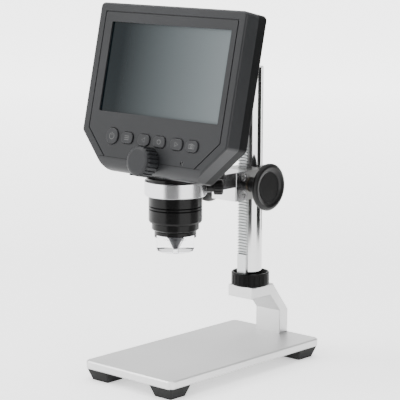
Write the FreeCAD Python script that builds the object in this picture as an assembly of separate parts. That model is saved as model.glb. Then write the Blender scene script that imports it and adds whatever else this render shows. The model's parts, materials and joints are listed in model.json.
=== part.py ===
import FreeCAD, Part
import math
import os
from FreeCAD import Vector, Placement, Rotation

# Digital microscope with its own display, held in a rack-and-pinion stand.
# Millimetres. The origin is on the table under the middle of the base plate,
# +Z is up and the display faces -Y.

# Fits
RUN_GAP = 0.05
SLIDE_GAP = 0.3
HAIR = 0.3
BACKLASH = 0.10

# Base plate and feet
PLATE_W = 72.5
PLATE_L = 140.0
PLATE_T = 5.0
PLATE_CORNER_R = 4.0
PLATE_EDGE = 0.7
FOOT_TOP = 18.2
FOOT_TAPER = 2.45
FOOT_H = 7.0
FOOT_INSET = 1.1
FOOT_EDGE_R = 1.2
FOOT_SCREW_D = 3.0
FOOT_SCREW_HEAD_D = 6.0
FOOT_SCREW_HEAD_H = 1.6
FOOT_RECESS_D = 7.0
FOOT_RECESS_H = 3.0
FOOT_SCREW_BITE = 4.0

# Riser bracket
RISER_W = 20.2
RISER_H = 34.4
RISER_REAR_INSET = 0.7
RISER_FOOT_D = 8.4
RISER_FOOT_H = 15.1
RISER_HEAD_D = 21.0
RISER_HEAD_T = 7.4
RISER_OFFSET = 15.2
RISER_HEAD_SEAT = 18.2
RISER_EDGE = 0.5
RISER_SCREW_D = 4.0
RISER_SCREW_HEAD_D = 7.6
RISER_SCREW_PITCH = 11.0
RISER_SCREW_BITE = 9.0

# Column, rack and lock ring
COLUMN_D = 14.6
COLUMN_L = 139.6
COLUMN_CENTRE_BACK = 10.0
COLUMN_EDGE = 0.5
COLUMN_BOLT_D = 6.0
COLUMN_BOLT_HEAD_D = 10.0
COLUMN_BOLT_HEAD_H = 3.5
COLUMN_BOLT_BITE = 14.0
RACK_W = 7.0
RACK_FRONT = 8.9
RACK_BACK = 4.9
RACK_MODULE = 0.6
RACK_PRESSURE = 25.0
RACK_BELOW_PINION = 47.4
RACK_ABOVE_PINION = 62.0
RACK_TOP_INSET = 5.0
RING_D = 24.2
RING_H = 8.3
RING_RECESS_D = 21.6
RING_RECESS_H = 2.6
RING_FLAT_N = 24

# Carriage
CARRIAGE_W = 20.4
CARRIAGE_H = 18.2
CARRIAGE_TOP = 122.4
CARRIAGE_REAR_WALL = 3.6
SEAM_AHEAD = 4.2
SOCKET_D = 10.4
TONGUE_W = 9.0
TONGUE_D = 6.6
TONGUE_H = 14.0
SOCKET_SCREW_D = 3.0
SOCKET_SCREW_HEAD_D = 4.6
SOCKET_SCREW_HEAD_H = 2.2
SOCKET_SCREW_PITCH = 10.6
PAD_D = 5.0
PAD_T = 1.6
TENSION_SCREW_D = 5.0
TENSION_SCREW_HEX = 2.5

# Pinion shaft and stand knobs
PINION_TEETH = 12
PINION_W = 6.4
SHAFT_D = 5.0
BUSH_D = 7.6
BUSH_L = 4.0
BUSH_FLANGE_D = 9.4
BUSH_FLANGE_T = 0.8
KNOB_D = 29.4
KNOB_OUT = 26.0
KNOB_HUB_D = 9.2
KNOB_RIM_T = 3.4
KNOB_DISC_T = 5.6
KNOB_RECESS_D = 20.0
KNOB_RECESS_H = 1.5
KNOB_GRUB_D = 3.0
SHAFT_COVER = 2.4

# Ring arm and its thumb screw
RING_ARM_W = 19.8
RING_ARM_H = 9.2
CLAMP_D = 37.6
LENS_AXIS_Y = -27.3
THUMB_ANGLE = 42.0
THUMB_THREAD_D = 4.0
THUMB_NECK_D = 5.7
THUMB_NECK_L = 4.4
THUMB_KNOB_D = 9.2
THUMB_KNOB_L = 5.8
THUMB_LOBES = 14
SPOT_D = 6.6
SPOT_DEPTH = 0.5

# Lens barrel and nose
BARREL_D = 32.6
BARREL_BOTTOM = 96.3
BARREL_BORE_D = 21.0
BARREL_GROOVE = 0.5
FLANGE_D = 35.2
FLANGE_T = 1.6
TUBE_ROOT_D = 29.0
NOSE_STEP_D = 28.8
NOSE_STEP_H = 4.3
NOSE_LIP_D = 25.5
NOSE_LIP_H = 2.7
NOSE_BORE_D = 21.6
HOOD_D = 22.7
HOOD_FLANGE_H = 2.0
HOOD_SPIGOT_H = 3.0
HOOD_BOTTOM = 78.8
CONE_TOP_D = 10.4
CONE_TIP_D = 2.8
CONE_TIP_Z = 80.2
CONE_WALL = 0.5
CONE_L = 7.1
CONE_COLLAR = 1.8
CONE_COLLAR_T = 1.2
LED_BOARD_T = 1.2
LED_COUNT = 8
LED_SIZE = 2.4
LED_H = 1.4
LED_CIRCLE_D = 16.4

# Lens carrier and its drive
CARRIER_D = 20.8
CARRIER_BOTTOM = 103.0
CARRIER_TOP = 146.0
CARRIER_WALL = 1.6
CARRIER_TRAVEL = 2.0
CELL_D = 15.0
CELL_H = 9.0
LENS_D = 9.0
LENS_T = 3.0
SENSOR_W = 14.0
SENSOR_T = 1.2
DRIVE_MODULE = 0.5
DRIVE_TEETH = 10
DRIVE_W = 3.0
DRIVE_RACK_T = 2.4
DRIVE_SPARE = 1.6
DRIVE_CLEAR = 1.3

# Housing, in the frame of its tilted face: u to the right, v up the face, w back
TILT = 12.714
FACE_Y = -39.13
FACE_Z = 188.59
HOUSING_W = 117.4
HOUSING_TOP = 38.8
HOUSING_BOTTOM = 62.6
HOUSING_SHOULDER = 40.3
CHAMFER_ANGLE = 45.0
HOUSING_D = 18.6
HOUSING_R = 3.0
CHIN_R = 8.0
BEZEL_D = 11.0
WALL = 2.0
EDGE_R = 1.0
EDGE_STEP = 0.3
CHIN_CUT_SPARE = 4.0
GROOVE_INSET = 5.1
GROOVE_W = 0.7
GROOVE_DEPTH = 0.8
BULGE_HALF_W = 25.0
BULGE_BACK = 19.8
BULGE_TOP = 156.0
BULGE_SLOPE = 12.0
BULGE_R = 5.0
BULGE_FRONT = 16.0

# Display and boards
WINDOW_SIDE = 10.7
WINDOW_H = 54.6
WINDOW_U = 1.1
WINDOW_DEPTH = 1.2
COVER_MARGIN = 2.0
PANEL_MARGIN = 3.8
PANEL_H = 64.0
PANEL_T = 2.9
BOARD_SIDE = 12.7
BOARD_H = 52.0
BOARD_T = 1.6
BATTERY_W = 58.0
BATTERY_H = 38.0
BATTERY_T = 4.6

# Buttons, light and front knob
BUTTON_V = -41.7
BUTTON_FIRST_U = -32.05
BUTTON_US = [-19.5, -5.8, 6.8, 20.7, 32.8]
BUTTON_NAMES = ["menu_button", "left_button", "ok_button", "right_button", "mode_button"]
BUTTON_W = 9.4
BUTTON_H = 6.8
BUTTON_R = 2.9
BUTTON_PROUD = 0.9
BUTTON_GAP = 0.35
BUTTON_STEM_D = 2.6
BUTTON_FLANGE = 0.8
BUTTON_FLANGE_T = 0.8
BUTTON_TRAVEL = 0.4
BUTTON_PLAY = 0.15
POWER_D = 9.8
KEY_BOARD_H = 12.0
KEY_BOARD_W = 78.0
KEY_BOARD_W0 = 5.6
SWITCH_SIZE = 4.5
SWITCH_H = 1.5
LIGHT_U = 26.5
LIGHT_V = -52.3
LIGHT_D = 2.2
FRONT_KNOB_V = -54.5
FRONT_KNOB_D = 18.2
FRONT_KNOB_OUT = 10.0
FRONT_KNOB_L = 9.6
FRONT_KNOB_LOBES = 22
SPINDLE_BITE = 2.5
SPINDLE_D = 3.4
KNOB_BUSH_D = 7.0
KNOB_BUSH_L = 3.4
BUSH_WALL = 1.6
BUSH_SET = 0.4

# Ports on the left wall
USB_V = 8.0
USB_L = 7.6
USB_H = 2.9
USB_D = 6.0
CARD_V = -12.0
CARD_L = 11.6
CARD_H = 1.6
CARD_D = 14.0
PORT_W = 13.6

# Screws in the housing
CASE_SCREW_D = 2.6
CASE_SCREW_HEAD_D = 5.0
CASE_SCREW_HEAD_H = 1.8
CASE_SCREW_INSET = 4.7
CASE_SCREW_TOP_V = 35.0
CASE_SCREW_LOW_INSET = 14.7
CASE_SCREW_LOW_V = -36.0
CASE_POST_D = 6.0
CASE_SCREW_BITE = 5.0
TUBE_SCREW_D = 2.0
TUBE_SCREW_CIRCLE_D = 33.0
TUBE_SCREW_HEAD_D = 3.4
TUBE_SCREW_HEAD_H = 1.2
TUBE_SCREW_ANGLES = [20.0, 160.0]

# Places worked out from the sizes above
X = Vector(1, 0, 0)
Y = Vector(0, 1, 0)
Z = Vector(0, 0, 1)
PLATE_TOP = FOOT_H + PLATE_T
RISER_TOP = PLATE_TOP + RISER_H
RISER_REAR_Y = PLATE_L / 2 - RISER_REAR_INSET
RISER_FRONT_Y = RISER_REAR_Y - RISER_OFFSET - RISER_HEAD_D
COLUMN_Y = RISER_FRONT_Y + COLUMN_CENTRE_BACK
COLUMN_R = COLUMN_D / 2
RACK_TIP_Y = COLUMN_Y - RACK_FRONT
RACK_PITCH = math.pi * RACK_MODULE
PINION_R = RACK_MODULE * PINION_TEETH / 2
PINION_Y = RACK_TIP_Y + RACK_MODULE - PINION_R
CARRIAGE_BOTTOM = CARRIAGE_TOP - CARRIAGE_H
SHAFT_Z = CARRIAGE_BOTTOM + CARRIAGE_H / 2
SEAM_Y = PINION_Y - SEAM_AHEAD
SOCKET_FRONT_Y = SEAM_Y - SOCKET_D
CARRIAGE_REAR_Y = COLUMN_Y + COLUMN_R + CARRIAGE_REAR_WALL
ARM_BOTTOM = CARRIAGE_TOP - RING_ARM_H
CLAMP_MID_Z = ARM_BOTTOM + RING_ARM_H / 2
BARREL_R = BARREL_D / 2
CLAMP_BORE_R = BARREL_R + 2 * RUN_GAP
BULGE_BOTTOM = CARRIAGE_TOP + FLANGE_T
TUBE_ROOT_H = WALL
DRIVE_R = DRIVE_MODULE * DRIVE_TEETH / 2
WINDOW_W = HOUSING_W - 2 * WINDOW_SIDE
PANEL_W = WINDOW_W + 2 * PANEL_MARGIN
BOARD_W = HOUSING_W - 2 * BOARD_SIDE
CASE_SCREW_U = HOUSING_W / 2 - CASE_SCREW_INSET
CASE_SCREW_LOW_U = HOUSING_W / 2 - CASE_SCREW_LOW_INSET
FAR = 2 * HOUSING_W
TILT_RAD = math.radians(TILT)
FACE = Placement(Vector(0, FACE_Y, FACE_Z), Rotation(X, -TILT))


def place(shape, at=None, turn=None):
    """A copy of the shape, turned about the origin and then moved."""
    moved = shape.copy()
    moved.Placement = Placement(at or Vector(), turn or Rotation()).multiply(moved.Placement)
    return moved


def box(x0, x1, y0, y1, z0, z1):
    return Part.makeBox(x1 - x0, y1 - y0, z1 - z0, Vector(x0, y0, z0))


def rod(radius, start, end):
    axis = end - start
    return Part.makeCylinder(radius, axis.Length, start, axis)


def revolve(points, centre, axis):
    """A body turned from a closed outline of (radius, height) points."""
    outline = [Vector(r, 0, h) for r, h in points]
    face = Part.Face(Part.makePolygon(outline + outline[:1]))
    turned = face.revolve(Vector(), Z, 360)
    return place(turned, centre, Rotation(Z, axis))


def rounded_outline(corners, radii):
    """A closed wire through the corners, each rounded by a true arc."""
    edges = []
    count = len(corners)
    tangents = []
    for i in range(count):
        here = corners[i]
        back = corners[i - 1] - here
        ahead = corners[(i + 1) % count] - here
        half = back.getAngle(ahead) / 2
        cut = radii[i] / math.tan(half)
        back.normalize()
        ahead.normalize()
        middle = back + ahead
        middle.normalize()
        centre = here + middle * (radii[i] / math.sin(half))
        tangents.append((here + back * cut, centre - middle * radii[i], here + ahead * cut))
    for i in range(count):
        start, bend, end = tangents[i]
        following = tangents[(i + 1) % count][0]
        if radii[i] > 0:
            edges.append(Part.Arc(start, bend, end).toShape())
        edges.append(Part.LineSegment(end, following).toShape())
    return Part.Wire(edges)


def rounded_box(width, height, depth, radius, centre, low):
    """A block on the XY plane with rounded upright edges."""
    half_w, half_h = width / 2, height / 2
    corners = [Vector(centre[0] + sx * half_w, centre[1] + sy * half_h, low)
               for sx, sy in ((-1, -1), (1, -1), (1, 1), (-1, 1))]
    return Part.Face(rounded_outline(corners, [radius] * 4)).extrude(Z * depth)


def edges_at(shape, test):
    return [edge for edge in shape.Edges if test(edge)]


def on_plane(edge, axis, value):
    limits = edge.BoundBox
    low = getattr(limits, axis + "Min")
    high = getattr(limits, axis + "Max")
    return abs(low - value) < 1e-4 and abs(high - value) < 1e-4


def lobed_rim(radius, depth, count, length):
    """A grip: a cylinder along Z with rounded flutes cut round it."""
    flute_r = math.pi * radius / count * 0.42
    grip = Part.makeCylinder(radius, length)
    flutes = []
    for i in range(count):
        angle = 2 * math.pi * i / count
        reach = radius + flute_r - depth
        centre = Vector(reach * math.cos(angle), reach * math.sin(angle), -1)
        flutes.append(Part.makeCylinder(flute_r, length + 2, centre))
    return grip.cut(Part.makeCompound(flutes))


def pinion_outline(module, teeth, pressure):
    """The face of a spur pinion on the XY plane, with a tooth gap on +X."""
    pitch_r = module * teeth / 2
    base_r = pitch_r * math.cos(math.radians(pressure))
    tip_r = pitch_r + module
    root_r = pitch_r - 1.25 * module

    def involute(radius):
        angle = math.acos(min(1.0, base_r / radius))
        return math.tan(angle) - angle

    half_tooth = (math.pi * module / 2 - BACKLASH) / (2 * pitch_r)
    flank_from = max(base_r, root_r)
    steps = 4
    radii = [flank_from + (tip_r - flank_from) * i / steps for i in range(steps + 1)]
    lean = [half_tooth + involute(pitch_r) - involute(radius) for radius in radii]
    points = []
    for tooth in range(teeth):
        middle = 2 * math.pi * (tooth + 0.5) / teeth
        flank = [(root_r, -lean[0])] + [(r, -a) for r, a in zip(radii, lean)]
        flank += [(r, a) for r, a in zip(reversed(radii), reversed(lean))] + [(root_r, lean[0])]
        for radius, angle in flank:
            points.append(Vector(radius * math.cos(middle + angle), radius * math.sin(middle + angle), 0))
    return Part.Face(Part.makePolygon(points + points[:1]))


def rack_root(module, tip):
    return tip + 2.25 * module


def rack_teeth(module, pressure, low, high, mesh_at, tip):
    """A rack's tooth outline as (depth, height) points: teeth point to -depth."""
    pitch = math.pi * module
    root = rack_root(module, tip)
    lean = math.tan(math.radians(pressure))
    half_pitch_line = pitch / 4 - BACKLASH / 4
    half_tip = half_pitch_line - module * lean
    half_root = half_pitch_line + 1.25 * module * lean
    first = math.ceil((low - mesh_at) / pitch + 0.5)
    last = math.floor((high - mesh_at) / pitch - 0.5)
    teeth = []
    for i in range(first, last + 1):
        centre = mesh_at + i * pitch
        teeth += [(root, centre - half_root), (tip, centre - half_tip),
                  (tip, centre + half_tip), (root, centre + half_root)]
    return teeth


def face_part(shape):
    """Move a shape from the tilted frame (u, v, -w) into the frame of the object."""
    upright = Placement(FACE.Base, FACE.Rotation.multiply(Rotation(X, 90)))
    moved = shape.copy()
    moved.Placement = upright.multiply(moved.Placement)
    return moved


def face_point(u, v, w):
    upright = Placement(FACE.Base, FACE.Rotation.multiply(Rotation(X, 90)))
    return upright.multVec(Vector(u, v, -w))


def face_direction():
    return face_point(0, 0, 1) - face_point(0, 0, 0)


# Base

def foot_centres():
    half_w = PLATE_W / 2 - FOOT_INSET - FOOT_TOP / 2
    half_l = PLATE_L / 2 - FOOT_INSET - FOOT_TOP / 2
    return [Vector(sx * half_w, sy * half_l, 0) for sx in (-1, 1) for sy in (-1, 1)]


def riser_screw_points():
    y = RISER_REAR_Y - RISER_FOOT_D / 2
    return [Vector(sx * RISER_SCREW_PITCH / 2, y, FOOT_H) for sx in (-1, 1)]


def countersunk_screw(diameter, head_d, bottom, length):
    """A countersunk screw pointing up from its flat head."""
    head_h = (head_d - diameter) / 2
    outline = [(0, 0), (head_d / 2, 0), (diameter / 2, head_h), (diameter / 2, length), (0, length)]
    screw = revolve(outline, bottom, Z)
    slot = rounded_box(head_d * 0.42, head_d * 0.42, head_h * 0.8, 0.2, (bottom.x, bottom.y), bottom.z)
    return screw.cut(slot)


def base_plate():
    plate = rounded_box(PLATE_W, PLATE_L, PLATE_T, PLATE_CORNER_R, (0, 0), FOOT_H)
    rims = edges_at(plate, lambda e: on_plane(e, "Z", FOOT_H) or on_plane(e, "Z", PLATE_TOP))
    plate = plate.makeChamfer(PLATE_EDGE, rims)
    for centre in foot_centres():
        plate = plate.cut(rod(FOOT_SCREW_D / 2, centre + Z * FOOT_H, centre + Z * (FOOT_H + FOOT_SCREW_BITE)))
    for point in riser_screw_points():
        sink = (RISER_SCREW_HEAD_D - RISER_SCREW_D) / 2
        plate = plate.cut(rod(RISER_SCREW_D / 2, point, point + Z * PLATE_T))
        plate = plate.cut(Part.makeCone(RISER_SCREW_HEAD_D / 2, RISER_SCREW_D / 2, sink, point))
    return plate


def rubber_foot(centre):
    top = rounded_outline([centre + Vector(sx, sy, 0) * (FOOT_TOP / 2) + Z * FOOT_H
                           for sx, sy in ((-1, -1), (1, -1), (1, 1), (-1, 1))], [FOOT_EDGE_R] * 4)
    low_half = FOOT_TOP / 2 - FOOT_TAPER
    bottom = rounded_outline([centre + Vector(sx, sy, 0) * low_half
                              for sx, sy in ((-1, -1), (1, -1), (1, 1), (-1, 1))], [FOOT_EDGE_R] * 4)
    foot = Part.makeLoft([bottom, top], True, True)
    foot = foot.cut(rod(FOOT_RECESS_D / 2, centre, centre + Z * FOOT_RECESS_H))
    return foot.cut(rod(FOOT_SCREW_D / 2, centre, centre + Z * FOOT_H))


def foot_screw(centre):
    seat = centre + Z * FOOT_RECESS_H
    head = rod(FOOT_SCREW_HEAD_D / 2, seat - Z * FOOT_SCREW_HEAD_H, seat)
    shank = rod(FOOT_SCREW_D / 2, seat, centre + Z * (FOOT_H + FOOT_SCREW_BITE))
    slot = box(-2.0, 2.0, -0.4, 0.4, 0, 0.8)
    cross = slot.fuse(place(slot, turn=Rotation(Z, 90)))
    return head.fuse(shank).cut(place(cross, seat - Z * FOOT_SCREW_HEAD_H)).removeSplitter()


def riser_bracket():
    rear, front = RISER_REAR_Y, RISER_FRONT_Y
    foot_front = rear - RISER_FOOT_D
    head_rear = front + RISER_HEAD_D
    head_low = RISER_TOP - RISER_HEAD_T
    outline = [(rear, PLATE_TOP), (foot_front, PLATE_TOP), (foot_front, PLATE_TOP + RISER_FOOT_H),
               (front + RISER_HEAD_SEAT, head_low), (front, head_low), (front, RISER_TOP),
               (head_rear, RISER_TOP), (rear, PLATE_TOP + RISER_FOOT_H)]
    points = [Vector(-RISER_W / 2, y, z) for y, z in outline]
    body = Part.Face(Part.makePolygon(points + points[:1])).extrude(X * RISER_W)
    sides = edges_at(body, lambda e: (on_plane(e, "X", -RISER_W / 2) or on_plane(e, "X", RISER_W / 2)))
    body = body.makeChamfer(RISER_EDGE, sides)
    for point in riser_screw_points():
        base = point + Z * PLATE_T
        body = body.cut(rod(RISER_SCREW_D / 2, base, base + Z * RISER_SCREW_BITE))
    axis = Vector(0, COLUMN_Y, 0)
    body = body.cut(rod(COLUMN_BOLT_D / 2 + RUN_GAP, axis + Z * head_low, axis + Z * RISER_TOP))
    seat = Z * (head_low + COLUMN_BOLT_HEAD_H)
    return body.cut(rod(COLUMN_BOLT_HEAD_D / 2 + HAIR, axis + Z * head_low, axis + seat))


def column_bolt():
    axis = Vector(0, COLUMN_Y, RISER_TOP - RISER_HEAD_T)
    seat = axis + Z * COLUMN_BOLT_HEAD_H
    head = rod(COLUMN_BOLT_HEAD_D / 2, axis, seat)
    shank = rod(COLUMN_BOLT_D / 2, seat, Vector(0, COLUMN_Y, RISER_TOP + COLUMN_BOLT_BITE))
    key = hexagon(5.0, 2.4, axis)
    return head.fuse(shank).cut(key).removeSplitter()


def hexagon(across_flats, depth, base):
    radius = across_flats / math.sqrt(3)
    points = [base + Vector(radius * math.cos(k * math.pi / 3), radius * math.sin(k * math.pi / 3), 0)
              for k in range(7)]
    return Part.Face(Part.makePolygon(points)).extrude(Z * depth)


# Column

def column_post():
    base = Vector(0, COLUMN_Y, RISER_TOP)
    post = Part.makeCylinder(COLUMN_R, COLUMN_L, base)
    rim = edges_at(post, lambda e: on_plane(e, "Z", RISER_TOP + COLUMN_L) and e.Length > COLUMN_D)
    post = post.makeChamfer(COLUMN_EDGE, rim)
    groove_top = RISER_TOP + COLUMN_L - RACK_TOP_INSET
    groove = box(-RACK_W / 2, RACK_W / 2, COLUMN_Y - COLUMN_R - 1, COLUMN_Y - RACK_BACK,
                 RISER_TOP, groove_top)
    post = post.cut(groove)
    return post.cut(rod(COLUMN_BOLT_D / 2, base, base + Z * COLUMN_BOLT_BITE))


def rack_strip():
    low = SHAFT_Z - RACK_BELOW_PINION
    high = SHAFT_Z + RACK_ABOVE_PINION
    back = COLUMN_Y - RACK_BACK
    teeth = rack_teeth(RACK_MODULE, RACK_PRESSURE, low, high, SHAFT_Z, RACK_TIP_Y)
    top = RISER_TOP + COLUMN_L - RACK_TOP_INSET
    bottom = RISER_TOP
    outline = [(back, bottom), (RACK_TIP_Y, bottom), (RACK_TIP_Y, teeth[0][1] - RACK_PITCH / 4)]
    outline += teeth
    outline += [(RACK_TIP_Y, teeth[-1][1] + RACK_PITCH / 4), (RACK_TIP_Y, top), (back, top)]
    points = [Vector(-RACK_W / 2, y, z) for y, z in outline]
    return Part.Face(Part.makePolygon(points + points[:1])).extrude(X * RACK_W)


def column_lock_ring():
    base = Vector(0, COLUMN_Y, RISER_TOP)
    corner_r = math.hypot(RACK_W / 2, RACK_FRONT) + HAIR
    recess_r = RING_RECESS_D / 2
    bore_r = COLUMN_R + RUN_GAP
    outline = [(bore_r, 0), (RING_D / 2 - 0.5, 0), (RING_D / 2, 0.5), (RING_D / 2, RING_H - 0.4),
               (RING_D / 2 - 0.4, RING_H), (recess_r, RING_H), (corner_r, RING_H - RING_RECESS_H),
               (bore_r, RING_H - RING_RECESS_H)]
    ring = revolve(outline, base, Z)
    strip = box(-RACK_W / 2 - HAIR, RACK_W / 2 + HAIR, RACK_TIP_Y - HAIR, COLUMN_Y, RISER_TOP - 1,
                RISER_TOP + RING_H)
    ring = ring.cut(strip)
    slots = []
    for i in range(RING_FLAT_N):
        slot = Part.makeCylinder(0.5, RING_H - 2.4, Vector(RING_D / 2 + 0.15, 0, 1.2))
        slots.append(place(slot, base, Rotation(Z, 360.0 * (i + 0.5) / RING_FLAT_N)))
    return ring.cut(Part.makeCompound(slots))


# Carriage

def carriage_block():
    half = CARRIAGE_W / 2
    body = box(-half, half, SEAM_Y, CARRIAGE_REAR_Y, CARRIAGE_BOTTOM, CARRIAGE_TOP)
    corners = edges_at(body, lambda e: on_plane(e, "Y", CARRIAGE_REAR_Y) and e.BoundBox.ZLength > 1)
    body = body.makeFillet(2.0, corners)
    tongue_low = SHAFT_Z - TONGUE_H / 2
    tongue = box(-TONGUE_W / 2, TONGUE_W / 2, SEAM_Y - TONGUE_D, SEAM_Y, tongue_low, tongue_low + TONGUE_H)
    body = body.fuse(tongue).removeSplitter()
    bore_r = COLUMN_R + RUN_GAP
    body = body.cut(Part.makeCylinder(bore_r, CARRIAGE_H, Vector(0, COLUMN_Y, CARRIAGE_BOTTOM)))
    slot_half = RACK_W / 2 + SLIDE_GAP
    body = body.cut(box(-slot_half, slot_half, RACK_TIP_Y - SLIDE_GAP, COLUMN_Y,
                        CARRIAGE_BOTTOM, CARRIAGE_TOP))
    pocket_r = PINION_R + RACK_MODULE + SLIDE_GAP
    pocket_half = PINION_W / 2 + SLIDE_GAP
    centre = Vector(0, PINION_Y, SHAFT_Z)
    body = body.cut(rod(pocket_r, centre - X * pocket_half, centre + X * pocket_half))
    body = body.cut(rod(BUSH_D / 2, centre - X * half, centre + X * half))
    for z in socket_screw_heights():
        start = Vector(socket_screw_tip(), socket_screw_y(), z)
        body = body.cut(rod(SOCKET_SCREW_D / 2, start, start + X * CARRIAGE_W))
    rear = Vector(0, CARRIAGE_REAR_Y, SHAFT_Z)
    front = Vector(0, COLUMN_Y + COLUMN_R, SHAFT_Z)
    return body.cut(rod(PAD_D / 2 + RUN_GAP, front - Y, rear))


def socket_screw_y():
    return SEAM_Y - TONGUE_D / 2


def socket_screw_tip():
    return -TONGUE_W / 2 + 2.0


def socket_screw_heights():
    return [SHAFT_Z - SOCKET_SCREW_PITCH / 2, SHAFT_Z + SOCKET_SCREW_PITCH / 2]


def socket_screw(z):
    at = Vector(CARRIAGE_W / 2, socket_screw_y(), z)
    seat = at - X * SOCKET_SCREW_HEAD_H
    head = rod(SOCKET_SCREW_HEAD_D / 2, seat, at - X * 0.4)
    shank = rod(SOCKET_SCREW_D / 2, Vector(socket_screw_tip(), at.y, z), seat)
    key = place(hexagon(2.0, 1.4, Vector()), at - X * 0.4, Rotation(Z, X * -1))
    return head.fuse(shank).cut(key).removeSplitter()


def friction_pad():
    front = Vector(0, COLUMN_Y + COLUMN_R + RUN_GAP, SHAFT_Z)
    pad = rod(PAD_D / 2, front - Y * 1.0, front + Y * PAD_T)
    return pad.cut(Part.makeCylinder(COLUMN_R + RUN_GAP, CARRIAGE_H, Vector(0, COLUMN_Y, CARRIAGE_BOTTOM)))


def friction_screw():
    start = Vector(0, COLUMN_Y + COLUMN_R + RUN_GAP + PAD_T, SHAFT_Z)
    end = Vector(0, CARRIAGE_REAR_Y, SHAFT_Z)
    screw = rod(TENSION_SCREW_D / 2, start, end)
    key = place(hexagon(TENSION_SCREW_HEX, 1.4, Vector()), end, Rotation(Z, Y * -1))
    return screw.cut(key)


def shaft_bush(side):
    face_x = side * CARRIAGE_W / 2
    centre = Vector(face_x, PINION_Y, SHAFT_Z)
    body = rod(BUSH_D / 2, centre, centre - X * side * BUSH_L)
    body = body.fuse(rod(BUSH_FLANGE_D / 2, centre, centre + X * side * BUSH_FLANGE_T))
    bore = rod(SHAFT_D / 2 + RUN_GAP, centre - X * side * (BUSH_L + 1), centre + X * side * 2)
    return body.cut(bore).removeSplitter()


def shaft_reach():
    return KNOB_OUT - KNOB_RECESS_H - SHAFT_COVER


def knob_hub_start():
    return CARRIAGE_W / 2 + BUSH_FLANGE_T + HAIR


def knob_hub_length():
    return KNOB_OUT - KNOB_DISC_T - knob_hub_start()


def pinion_shaft():
    centre = Vector(0, PINION_Y, SHAFT_Z)
    shaft = rod(SHAFT_D / 2, centre - X * shaft_reach(), centre + X * shaft_reach())
    gear = pinion_outline(RACK_MODULE, PINION_TEETH, RACK_PRESSURE).extrude(Z * PINION_W)
    gear = place(gear, Vector(-PINION_W / 2, PINION_Y, SHAFT_Z), Rotation(Y, Z, X, "ZXY"))
    return shaft.fuse(gear).removeSplitter()


def stand_knob(side):
    """A thin dished hand wheel with a long hub, turned about X."""
    hub_len = knob_hub_length()
    face = hub_len + KNOB_DISC_T
    rim = KNOB_D / 2
    recess = KNOB_RECESS_D / 2
    outline = [(0, 0), (KNOB_HUB_D / 2, 0), (KNOB_HUB_D / 2, hub_len), (rim - 3.4, hub_len + 0.6),
               (rim - 0.8, face - KNOB_RIM_T), (rim, face - KNOB_RIM_T + 0.9), (rim, face - 1.2),
               (rim - 1.0, face - 0.25), (rim - 2.2, face), (recess + 0.6, face - 0.5),
               (recess - 0.6, face - KNOB_RECESS_H), (0, face - KNOB_RECESS_H)]
    base = Vector(side * knob_hub_start(), PINION_Y, SHAFT_Z)
    knob = revolve(outline, base, X * side)
    end = Vector(side * shaft_reach(), PINION_Y, SHAFT_Z)
    knob = knob.cut(rod(SHAFT_D / 2, base - X * side, end))
    grub = Vector(base.x + side * hub_len / 2, PINION_Y, SHAFT_Z)
    return knob.cut(rod(KNOB_GRUB_D / 2, grub, grub - Z * KNOB_HUB_D))


def knob_grub(side):
    x = side * (knob_hub_start() + knob_hub_length() / 2)
    top = Vector(x, PINION_Y, SHAFT_Z - SHAFT_D / 2)
    low = Vector(x, PINION_Y, SHAFT_Z - KNOB_HUB_D / 2 + 0.4)
    return rod(KNOB_GRUB_D / 2, low, top).cut(hexagon(1.5, 0.9, low))


# Ring arm

def arm_socket():
    """The block at the arm's root that slips over the carriage's tongue."""
    half = CARRIAGE_W / 2
    body = box(-half, half, SOCKET_FRONT_Y, SEAM_Y, CARRIAGE_BOTTOM, CARRIAGE_TOP)
    corners = edges_at(body, lambda e: on_plane(e, "Y", SOCKET_FRONT_Y) and e.BoundBox.ZLength > 1)
    return body.makeChamfer(0.7, corners)


def thumb_direction():
    angle = math.radians(THUMB_ANGLE)
    return Vector(math.cos(angle), math.sin(angle), 0)


def ring_arm():
    axis = Vector(0, LENS_AXIS_Y, ARM_BOTTOM)
    ring = Part.makeCylinder(CLAMP_D / 2, RING_ARM_H, axis)
    rims = edges_at(ring, lambda e: e.Length > CLAMP_D and e.BoundBox.ZLength < 1e-4)
    ring = ring.makeChamfer(0.5, rims)
    half = RING_ARM_W / 2
    arm = box(-half, half, LENS_AXIS_Y, SEAM_Y, ARM_BOTTOM, CARRIAGE_TOP)
    body = ring.fuse(arm).fuse(arm_socket()).removeSplitter()
    low = SHAFT_Z - TONGUE_H / 2
    body = body.cut(box(-TONGUE_W / 2, TONGUE_W / 2, SEAM_Y - TONGUE_D, SEAM_Y, low, low + TONGUE_H))
    for z in socket_screw_heights():
        at = Vector(CARRIAGE_W / 2, socket_screw_y(), z)
        tip = at - X * (CARRIAGE_W / 2 - socket_screw_tip())
        body = body.cut(rod(SOCKET_SCREW_D / 2 + RUN_GAP, tip, at))
        body = body.cut(rod(SOCKET_SCREW_HEAD_D / 2 + RUN_GAP, at - X * SOCKET_SCREW_HEAD_H, at))
    body = body.cut(Part.makeCylinder(CLAMP_BORE_R, RING_ARM_H, axis))
    centre = Vector(0, LENS_AXIS_Y, CLAMP_MID_Z)
    along = thumb_direction()
    body = body.cut(rod(THUMB_THREAD_D / 2, centre, centre + along * CLAMP_D))
    spot = centre + along * (CLAMP_D / 2 - SPOT_DEPTH)
    return body.cut(rod(SPOT_D / 2, spot, spot + along * 4))


def thumb_neck_start():
    return CLAMP_D / 2 - SPOT_DEPTH + HAIR


def thumb_stud_end():
    return thumb_neck_start() + THUMB_NECK_L + THUMB_KNOB_L * 0.7


def thumb_stud():
    centre = Vector(0, LENS_AXIS_Y, CLAMP_MID_Z)
    along = thumb_direction()
    start = BARREL_R + HAIR
    return rod(THUMB_THREAD_D / 2 - RUN_GAP, centre + along * start, centre + along * thumb_stud_end())


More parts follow.
